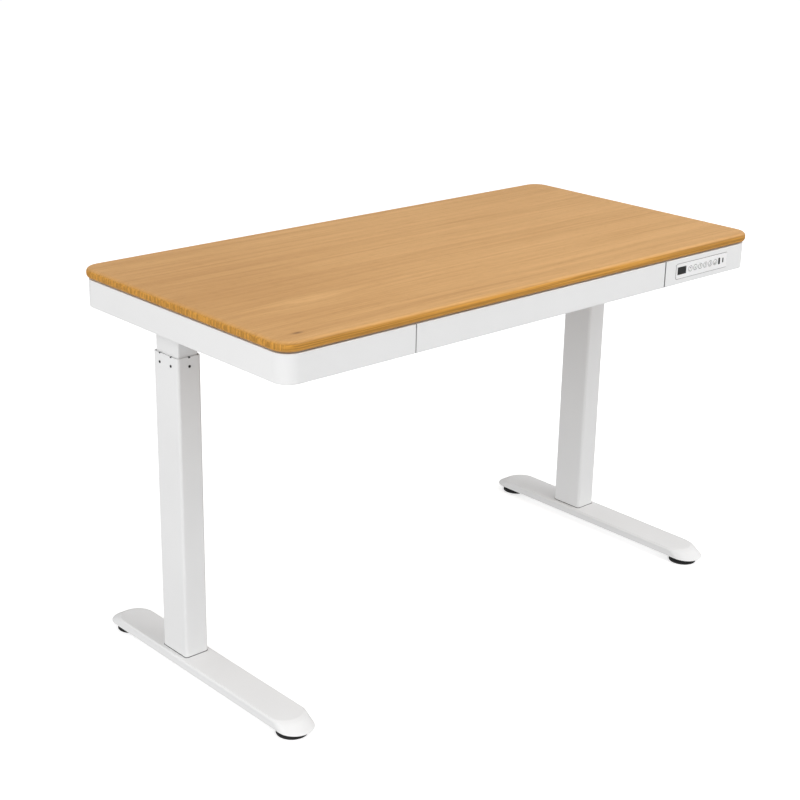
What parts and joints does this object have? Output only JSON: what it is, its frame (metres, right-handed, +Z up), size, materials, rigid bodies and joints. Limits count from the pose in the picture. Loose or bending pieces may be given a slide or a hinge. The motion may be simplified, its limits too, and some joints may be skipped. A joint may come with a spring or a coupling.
{
  "type": "standing desk",
  "caption": "Height adjustable desk: wooden top on a white steel apron with a drawer and control panel, two telescopic columns, long flat feet and round levellers.",
  "frame": {"origin": "on the floor, under the middle of the top", "axes": "+Z up, +X to the user's right along the long side, front of the desk at -Y"},
  "size_m": [1.2, 0.607, 0.734],
  "materials": {
    "oak_top": "satin lacquer",
    "white_steel": "fine powder coat",
    "black_rubber": "matte",
    "dark_plastic": "fine grain",
    "white_plastic": "fine grain",
    "zinc_steel": "zinc plated",
    "black_steel": "black oxide",
    "bronze": "machined",
    "cast_aluminium": "as cast",
    "circuit_board": "solder mask",
    "display_glass": "gloss"
  },
  "bodies": {
    "base": {"foot_left": "white_steel", "foot_right": "white_steel", "outer_tube_left": "white_steel", "outer_tube_right": "white_steel", "glide_collar_left": "dark_plastic", "glide_collar_right": "dark_plastic", "push_tube_left": "zinc_steel", "push_tube_right": "zinc_steel", "drive_nut_left": "bronze", "drive_nut_right": "bronze", "glide_screws": "black_steel", "foot_bolts": "zinc_steel"},
    "upper": {"desktop": "oak_top", "apron_left": "white_steel", "apron_right": "white_steel", "apron_rear": "white_steel", "inner_tube_left": "white_steel", "inner_tube_right": "white_steel", "column_head_left": "white_steel", "column_head_right": "white_steel", "cross_rail_front": "white_steel", "cross_rail_rear": "white_steel", "gearbox_left": "cast_aluminium", "gearbox_right": "cast_aluminium", "motor": "dark_plastic", "reduction_housing": "cast_aluminium", "control_box": "dark_plastic", "power_inlet": "dark_plastic", "panel_plate": "white_plastic", "panel_cover": "white_plastic", "display_lens": "display_glass", "usb_a_port": "zinc_steel", "usb_c_port": "zinc_steel", "panel_board": "circuit_board", "slide_outer_left": "zinc_steel", "slide_outer_right": "zinc_steel", "desktop_screws": "zinc_steel", "frame_bolts": "zinc_steel"},
    "spindle_left": {"lead_screw_left": "zinc_steel", "spindle_gear_left": "zinc_steel"},
    "spindle_right": {"lead_screw_right": "zinc_steel", "spindle_gear_right": "zinc_steel"},
    "cross_shaft": {"drive_shaft": "zinc_steel", "shaft_gears": "zinc_steel"},
    "drawer": {"drawer_front": "white_steel", "drawer_box": "white_steel", "slide_inner_left": "zinc_steel", "slide_inner_right": "zinc_steel"},
    "slide_middle_left": {"slide_middle_left": "zinc_steel"},
    "slide_middle_right": {"slide_middle_right": "zinc_steel"},
    "leveller_front_left": {"leveller_front_left": "black_rubber"},
    "leveller_front_right": {"leveller_front_right": "black_rubber"},
    "leveller_rear_left": {"leveller_rear_left": "black_rubber"},
    "leveller_rear_right": {"leveller_rear_right": "black_rubber"},
    "key_up": {"key_up": "white_plastic"},
    "key_down": {"key_down": "white_plastic"},
    "key_preset_1": {"key_preset_1": "white_plastic"},
    "key_preset_2": {"key_preset_2": "white_plastic"},
    "key_preset_3": {"key_preset_3": "white_plastic"},
    "key_store": {"key_store": "white_plastic"}
  },
  "joints": [
    {"name": "lift", "type": "slide", "parent": "base", "child": "upper", "axis": [0, 0, 1], "range_m": [0, 0.45]},
    {"name": "spindle_left_turn", "type": "hinge", "parent": "upper", "child": "spindle_left", "pos_m": [-0.541, 0.081, 0.6], "axis": [0, 0, 1], "range_deg": [0, 20251]},
    {"name": "spindle_right_turn", "type": "hinge", "parent": "upper", "child": "spindle_right", "pos_m": [0.541, 0.081, 0.6], "axis": [0, 0, 1], "range_deg": [-20251, 0]},
    {"name": "cross_shaft_turn", "type": "hinge", "parent": "upper", "child": "cross_shaft", "pos_m": [0, 0.081, 0.684], "axis": [1, 0, 0], "range_deg": [0, 20251]},
    {"name": "drawer_slide", "type": "slide", "parent": "upper", "child": "drawer", "axis": [0, -1, 0], "range_m": [0, 0.25]},
    {"name": "slide_middle_left_run", "type": "slide", "parent": "upper", "child": "slide_middle_left", "axis": [0, -1, 0], "range_m": [0, 0.125]},
    {"name": "slide_middle_right_run", "type": "slide", "parent": "upper", "child": "slide_middle_right", "axis": [0, -1, 0], "range_m": [0, 0.125]},
    {"name": "key_up_press", "type": "slide", "parent": "upper", "child": "key_up", "axis": [0, 1, 0], "range_m": [0, 0.0005], "stiffness_N_per_m": 1000, "springref_m": -0.001},
    {"name": "key_down_press", "type": "slide", "parent": "upper", "child": "key_down", "axis": [0, 1, 0], "range_m": [0, 0.0005], "stiffness_N_per_m": 1000, "springref_m": -0.001},
    {"name": "key_preset_1_press", "type": "slide", "parent": "upper", "child": "key_preset_1", "axis": [0, 1, 0], "range_m": [0, 0.0005], "stiffness_N_per_m": 1000, "springref_m": -0.001},
    {"name": "key_preset_2_press", "type": "slide", "parent": "upper", "child": "key_preset_2", "axis": [0, 1, 0], "range_m": [0, 0.0005], "stiffness_N_per_m": 1000, "springref_m": -0.001},
    {"name": "key_preset_3_press", "type": "slide", "parent": "upper", "child": "key_preset_3", "axis": [0, 1, 0], "range_m": [0, 0.0005], "stiffness_N_per_m": 1000, "springref_m": -0.001},
    {"name": "key_store_press", "type": "slide", "parent": "upper", "child": "key_store", "axis": [0, 1, 0], "range_m": [0, 0.0005], "stiffness_N_per_m": 1000, "springref_m": -0.001},
    {"name": "leveller_front_left_height", "type": "slide", "parent": "base", "child": "leveller_front_left", "axis": [0, 0, -1], "range_m": [0, 0.008]},
    {"name": "leveller_front_right_height", "type": "slide", "parent": "base", "child": "leveller_front_right", "axis": [0, 0, -1], "range_m": [0, 0.008]},
    {"name": "leveller_rear_left_height", "type": "slide", "parent": "base", "child": "leveller_rear_left", "axis": [0, 0, -1], "range_m": [0, 0.008]},
    {"name": "leveller_rear_right_height", "type": "slide", "parent": "base", "child": "leveller_rear_right", "axis": [0, 0, -1], "range_m": [0, 0.008]}
  ],
  "couplings": [
    {"joint": "spindle_left_turn", "follows": "lift", "rad_per_m": 785.4},
    {"joint": "spindle_right_turn", "follows": "lift", "rad_per_m": -785.4},
    {"joint": "cross_shaft_turn", "follows": "lift", "rad_per_m": 785.4},
    {"joint": "slide_middle_left_run", "follows": "drawer_slide", "ratio": 0.5},
    {"joint": "slide_middle_right_run", "follows": "drawer_slide", "ratio": 0.5}
  ]
}
